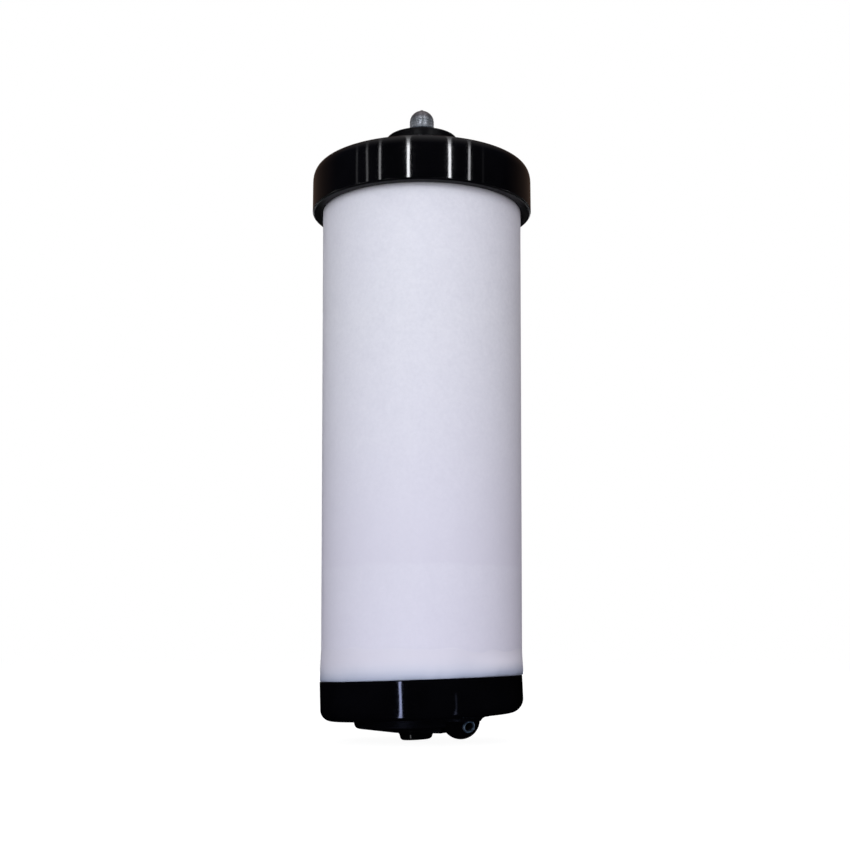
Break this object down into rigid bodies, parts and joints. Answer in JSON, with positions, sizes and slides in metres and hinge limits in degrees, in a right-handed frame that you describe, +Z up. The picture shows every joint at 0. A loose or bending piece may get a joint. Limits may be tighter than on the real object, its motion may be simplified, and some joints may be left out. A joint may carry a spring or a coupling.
{
  "type": "pump water filter",
  "caption": "Hand pump water filter: white cylindrical housing, black base with inlet nipple and outlet ball port, wide black screw-on head with pull knob and dome nut.",
  "frame": {"origin": "on the housing's axis, level with the mouth of the inlet nipple, which is the lowest face", "axes": "+Z up along the housing's axis to the knob; -Y is the front, where the outlet port is; +X is to the right seen from the front"},
  "size_m": [0.0678, 0.0678, 0.1942],
  "materials": {
    "white_housing": "satin, faint fine grain",
    "white_sealant": "smooth cured sealant",
    "black_plastic": "polished black",
    "black_moulding": "plain moulded black",
    "stainless_steel": "turned",
    "satin_nickel": "satin, turned",
    "white_ceramic": "porous, unglazed",
    "black_rubber": "soft, matt",
    "white_acetal": "machined",
    "barrel_plastic": "smooth drawn tube",
    "brass": "turned"
  },
  "bodies": {
    "housing": {"housing_tube": "white_housing", "joint_sealant": "white_sealant", "base_cap": "black_plastic", "inlet_nipple": "black_plastic", "inlet_strainer": "stainless_steel", "foot_valve_seat": "white_acetal", "foot_valve_cage": "white_acetal", "outlet_boss": "black_plastic", "outlet_eyelet": "stainless_steel", "pump_barrel": "barrel_plastic", "barrel_o_ring": "black_rubber", "ceramic_element": "white_ceramic", "element_top_cap": "black_moulding", "element_top_o_ring": "black_rubber", "element_bottom_cap": "black_moulding", "element_bottom_o_ring": "black_rubber"},
    "foot_valve": {"foot_valve_ball": "stainless_steel"},
    "head_insert": {"gland_carrier": "black_moulding", "head_o_ring": "black_rubber", "gland_bush": "white_acetal", "rod_seal": "black_rubber", "seal_spacer": "white_acetal", "gland_nut": "brass", "rod_wiper": "black_rubber"},
    "head": {"head_cap": "black_plastic"},
    "plunger": {"pump_rod": "stainless_steel", "pump_knob": "black_plastic", "knob_bumper": "black_rubber", "knob_collar": "black_plastic", "dome_nut": "satin_nickel", "piston_body": "white_acetal", "piston_seal": "black_rubber", "piston_nut": "stainless_steel", "valve_stop_ring": "stainless_steel"},
    "piston_valve": {"piston_valve_disc": "black_rubber"}
  },
  "joints": [
    {"name": "foot_valve_lift", "type": "slide", "parent": "housing", "child": "foot_valve", "axis": [0, 0, 1], "range_m": [0, 0.0019]},
    {"name": "head_lift", "type": "slide", "parent": "housing", "child": "head_insert", "axis": [0, 0, 1], "range_m": [0, 0.0051]},
    {"name": "head_turn", "type": "hinge", "parent": "head_insert", "child": "head", "pos_m": [0, 0, 0.1595], "axis": [0, 0, 1], "range_deg": [0, 450]},
    {"name": "pump_stroke", "type": "slide", "parent": "head_insert", "child": "plunger", "axis": [0, 0, 1], "range_m": [0, 0.1]},
    {"name": "piston_valve_lift", "type": "slide", "parent": "plunger", "child": "piston_valve", "axis": [0, 0, 1], "range_m": [0, 0.0018]}
  ],
  "couplings": [
    {"joint": "head_lift", "follows": "head_turn", "m_per_rad": 0.00063662}
  ]
}
